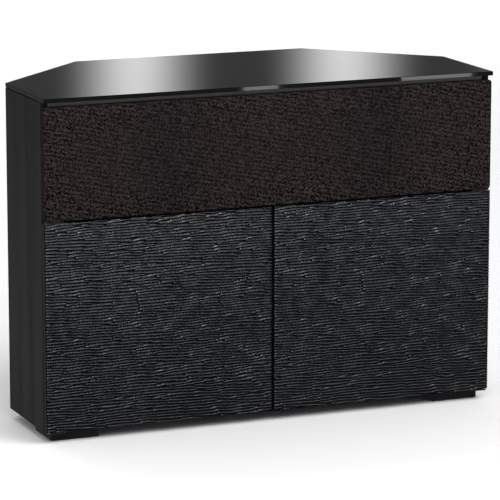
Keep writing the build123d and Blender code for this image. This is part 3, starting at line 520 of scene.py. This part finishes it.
def grille_cloth():
    """One sheet of cloth, stretched over the front of the grille's frame and turned over onto its back."""
    low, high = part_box("grille_cloth")
    half_width = (high.x - low.x) / 2
    half_height = (high.z - low.z) / 2
    centre_x = (high.x + low.x) / 2
    centre_z = (high.z + low.z) / 2
    front = low.y
    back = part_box("cloth_turnover")[1].y

    work = bmesh.new()
    loops = []
    for inset, y in cloth_sections(front, back, half_height):
        radius = max(CLOTH_CORNER - inset, 0.0004)
        shape = outline(half_width - inset, half_height - inset, radius, 28, 96, 6)
        loops.append([work.verts.new((centre_x + x, y, centre_z + z)) for x, z in shape])
    for outer, inner in zip(loops, loops[1:]):
        for i in range(len(outer)):
            j = (i + 1) % len(outer)
            work.faces.new((outer[i], outer[j], inner[j], inner[i]))
    bmesh.ops.remove_doubles(work, verts=loops[-1], dist=0.002)
    bmesh.ops.recalc_face_normals(work, faces=work.faces)
    for vertex in work.verts:
        if abs(vertex.co.y - front) < 1e-6:
            from_side = half_width - abs(vertex.co.x - centre_x)
            from_end = half_height - abs(vertex.co.z - centre_z)
            free = (min(from_side, from_end) - CLOTH_HELD) / CLOTH_EASE
            vertex.co.y += CLOTH_SAG * min(1.0, max(0.0, free))
    for face in work.faces:
        face.smooth = True
    mesh = bpy.data.meshes.new("speaker_cloth")
    work.to_mesh(mesh)
    work.free()

    cloth = add_piece("speaker_cloth", mesh, "speaker_cloth", "grille", "grille_cloth", "cloth_turnover")
    thicken = cloth.modifiers.new("thickness", "SOLIDIFY")
    thicken.thickness = CLOTH_THICKNESS
    thicken.offset = -1.0


# ---------------------------------------------------------------- stage, lights and camera
def pale_floor():
    look = Look("floor", (0.86, 0.86, 0.86), 0.75)
    corners = [(sx * FLOOR_REACH, sy * FLOOR_REACH, 0) for sx, sy in ((-1, -1), (1, -1), (1, 1), (-1, 1))]
    mesh = bpy.data.meshes.new("floor")
    mesh.from_pydata(corners, [], [(0, 1, 2, 3)])
    mesh.materials.append(look.material)
    floor = bpy.data.objects.new("floor", mesh)
    floor.visible_glossy = False
    bpy.context.scene.collection.objects.link(floor)


def ring_glow(name, count, first, gap, peak, sharpness, front):
    """Emission of a ring: `count` upright lights, one at azimuth `first` to the right of +Y, fading from
    brightness `peak` to `gap` between them, and all of it dimmer towards the front, where the share `front`
    is left."""
    material = bpy.data.materials.new(name)
    material.use_nodes = True
    material.cycles.emission_sampling = "NONE"
    tree = material.node_tree
    tree.nodes.clear()
    split = tree.nodes.new("ShaderNodeSeparateXYZ")
    tree.links.new(tree.nodes.new("ShaderNodeTexCoord").outputs["Object"], split.inputs[0])

    def maths(operation, first_input, *numbers):
        made = tree.nodes.new("ShaderNodeMath")
        made.operation = operation
        tree.links.new(first_input, made.inputs[0])
        for i, number in enumerate(numbers):
            made.inputs[i + 1].default_value = number
        return made

    azimuth = maths("ARCTAN2", split.outputs["X"])
    tree.links.new(split.outputs["Y"], azimuth.inputs[1])
    phase = maths("MULTIPLY_ADD", azimuth.outputs[0], count, -first * count)
    wave = maths("COSINE", phase.outputs[0])
    lifted = maths("MULTIPLY_ADD", wave.outputs[0], 0.5, 0.5)
    peaked = maths("POWER", lifted.outputs[0], sharpness)
    bright = maths("MULTIPLY_ADD", peaked.outputs[0], peak - gap, gap)
    backward = maths("COSINE", azimuth.outputs[0])
    share = maths("MULTIPLY_ADD", backward.outputs[0], (1 - front) / 2, (1 + front) / 2)
    strength = maths("MULTIPLY", bright.outputs[0])
    tree.links.new(share.outputs[0], strength.inputs[1])
    emission = tree.nodes.new("ShaderNodeEmission")
    tree.links.new(strength.outputs[0], emission.inputs["Strength"])
    output = tree.nodes.new("ShaderNodeOutputMaterial")
    tree.links.new(emission.outputs[0], output.inputs["Surface"])
    return material


def light_ring(name, bottom, top, glow):
    """A far upright band of light round the cabinet that only reflections see."""
    work = bmesh.new()
    bmesh.ops.create_cone(
        work, cap_ends=False, segments=128, radius1=RING_RADIUS, radius2=RING_RADIUS, depth=top - bottom
    )
    bmesh.ops.translate(work, verts=work.verts, vec=(0, 0, (top + bottom) / 2))
    mesh = bpy.data.meshes.new(name)
    work.to_mesh(mesh)
    work.free()
    mesh.materials.append(glow)
    ring = bpy.data.objects.new(name, mesh)
    bpy.context.scene.collection.objects.link(ring)
    ring.visible_camera = False
    ring.visible_diffuse = False
    ring.visible_shadow = False
    ring.visible_transmission = False


def light_rings():
    for name, (bottom, top, gap, peak) in BANDED_RINGS.items():
        glow = ring_glow(name, BAND_COUNT, BAND_AZIMUTH, gap, peak, BAND_SHARPNESS, BAND_FRONT)
        light_ring(name, bottom, top, glow)
    for name, (bottom, top, in_front) in EVEN_RINGS.items():
        glow = ring_glow(name, 1, 0.0, in_front, EVEN_BEHIND, sharpness=1.0, front=1.0)
        light_ring(name, bottom, top, glow)


def softbox(name, place, target, size, power):
    data = bpy.data.lights.new(name, "AREA")
    data.shape = "RECTANGLE"
    data.size = size[0]
    data.size_y = size[1]
    data.energy = power
    light = bpy.data.objects.new(name, data)
    light.location = place
    light.rotation_euler = (Vector(target) - Vector(place)).to_track_quat("-Z", "Y").to_euler()
    light.visible_camera = False
    bpy.context.scene.collection.objects.link(light)
    return light


def key_light():
    sun = bpy.data.lights.new("key", "SUN")
    sun.energy = 1.3
    sun.angle = math.radians(35)
    key = bpy.data.objects.new("key", sun)
    key.rotation_euler = (math.radians(40), 0, math.radians(52))
    key.visible_glossy = False
    bpy.context.scene.collection.objects.link(key)


def edge_lights():
    for name, (azimuth, width) in EDGE_LIGHTS.items():
        out_x = EDGE_LIGHT_DISTANCE * math.sin(azimuth)
        out_y = EDGE_LIGHT_DISTANCE * math.cos(azimuth)
        for share in EDGE_LIGHT_SHARES:
            size = (share * width, EDGE_LIGHT_HEIGHT)
            power = EDGE_LIGHT_RADIANCE * math.pi * size[0] * size[1]
            light = softbox(name, (out_x, out_y, EDGE_LIGHT_Z), (0, 0, EDGE_LIGHT_Z), size, power)
            light.visible_diffuse = False


def door_strip():
    """A long narrow light above the doors, which puts the highlights on their ridges. Its narrow spread keeps
    it out of the glass."""
    strip = softbox("door_strip", (0.2, -0.56, 1.04), (0.2, -0.26, 0.62), (4.6, 0.12), 4.2)
    strip.data.spread = math.radians(65)
    strip.visible_diffuse = False


def studio_world():
    world = bpy.data.worlds.new("studio")
    world.use_nodes = True
    background = world.node_tree.nodes["Background"]
    background.inputs["Color"].default_value = (1.0, 1.0, 1.0, 1.0)
    background.inputs["Strength"].default_value = 0.56
    world.cycles_visibility.glossy = False
    bpy.context.scene.world = world
    bpy.context.scene.view_settings.view_transform = "Standard"
    bpy.context.scene.view_settings.look = "None"


def camera():
    data = bpy.data.cameras.new("camera")
    data.lens = CAMERA_LENS
    data.clip_start = 0.1
    data.clip_end = 200.0
    body = bpy.data.objects.new("camera", data)
    body.location = CAMERA_POSITION
    body.rotation_euler = (math.pi / 2 - CAMERA_TILT, 0, -CAMERA_TURN)
    bpy.context.scene.collection.objects.link(body)
    bpy.context.scene.camera = body


camera()
key_light()
edge_lights()
door_strip()
for light_name, settings in FILL_LIGHTS.items():
    softbox(light_name, *settings).visible_glossy = False
studio_world()
pale_floor()
light_rings()
dress_frame()
for side in ("left", "right"):
    carved_leaf(f"{side}_carved_front", f"{side}_door_front", f"{side}_door")
grille_cloth()
